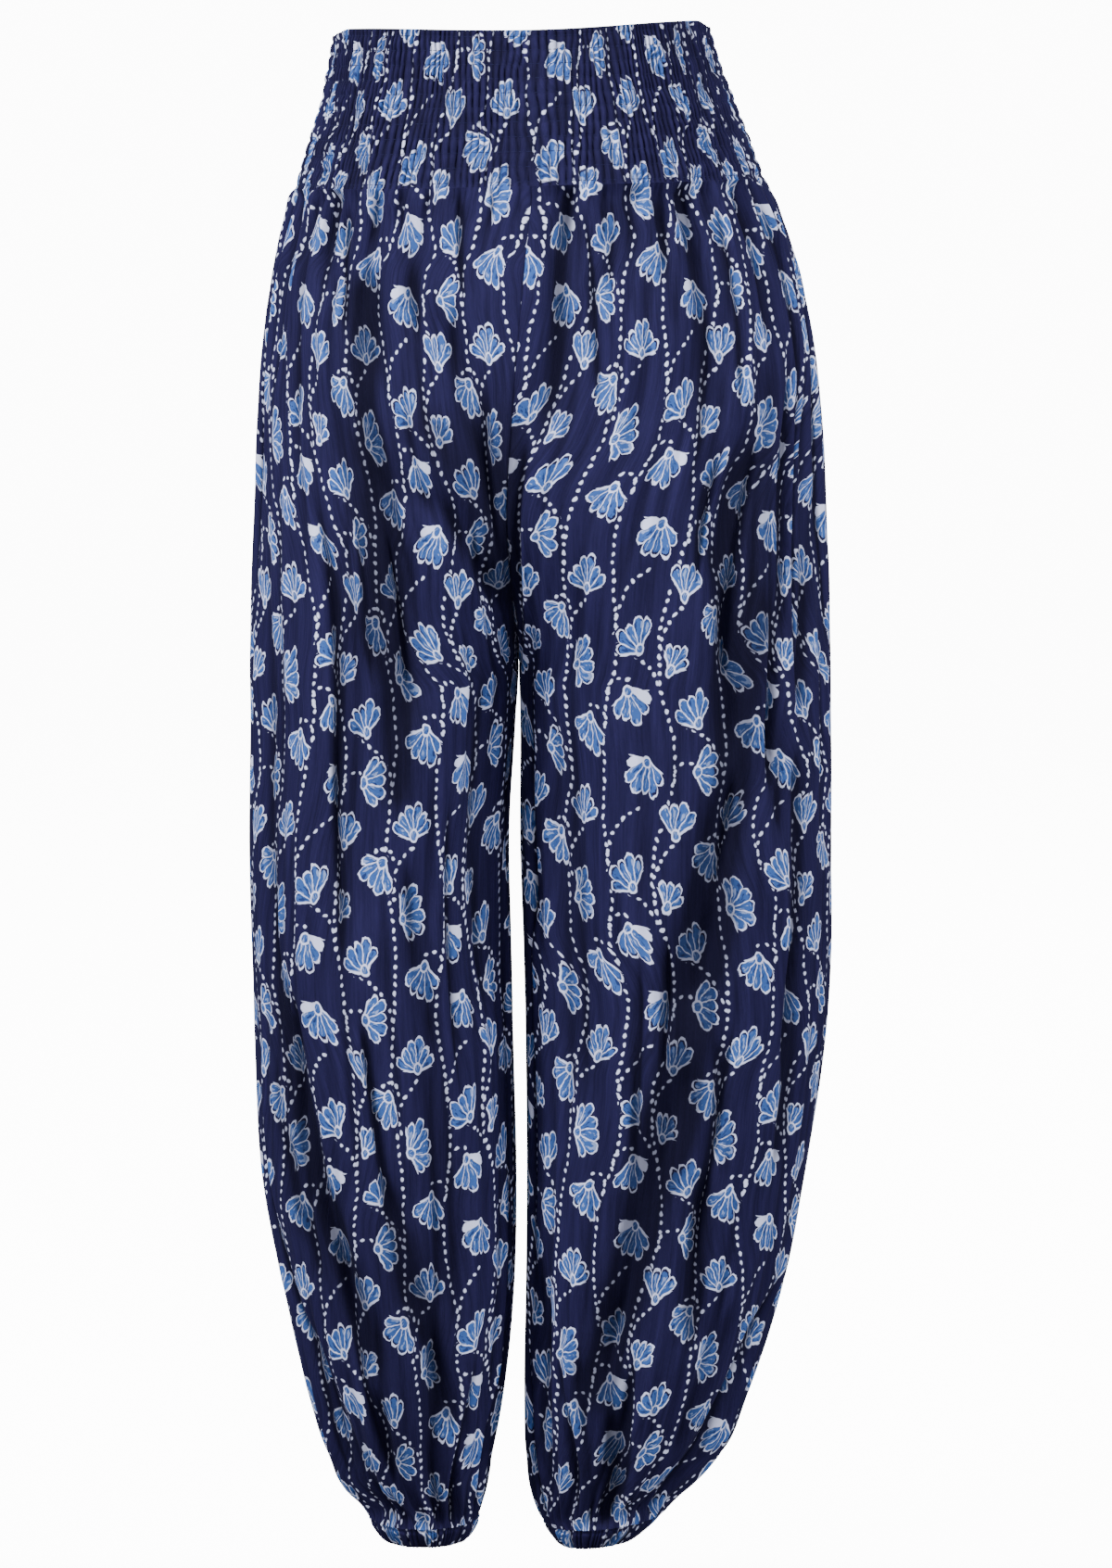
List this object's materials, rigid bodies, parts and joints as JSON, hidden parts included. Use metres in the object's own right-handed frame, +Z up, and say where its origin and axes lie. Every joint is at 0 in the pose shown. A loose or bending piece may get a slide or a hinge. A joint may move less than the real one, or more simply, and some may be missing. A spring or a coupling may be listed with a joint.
{
  "type": "harem pants",
  "caption": "Full-length harem trousers with a wide shirred elastic waistband, full gathered legs and narrow elastic hems, filled out and hollow.",
  "frame": {"origin": "middle of the waist, half way down the waistband, on the axis between the side seams", "axes": "+Z up along the height, front of the trousers faces -Y, the wearer's left is at +X"},
  "size_m": [0.3752, 0.2583, 0.9894],
  "materials": {
    "printed_cotton": "light plain-weave cotton, soft sheen, printed with pale-blue fan flowers and dotted white stems on navy",
    "shirred_cotton": "the same print drawn up in close gathers by rows of elastic thread",
    "hem_cotton": "the same print drawn up over narrow elastic"
  },
  "bodies": {
    "root": {"waistband": "shirred_cotton", "leg_right_front": "printed_cotton", "leg_right_back": "printed_cotton", "leg_left_front": "printed_cotton", "leg_left_back": "printed_cotton", "hem_casing_right": "hem_cotton", "hem_casing_left": "hem_cotton"}
  },
  "joints": []
}
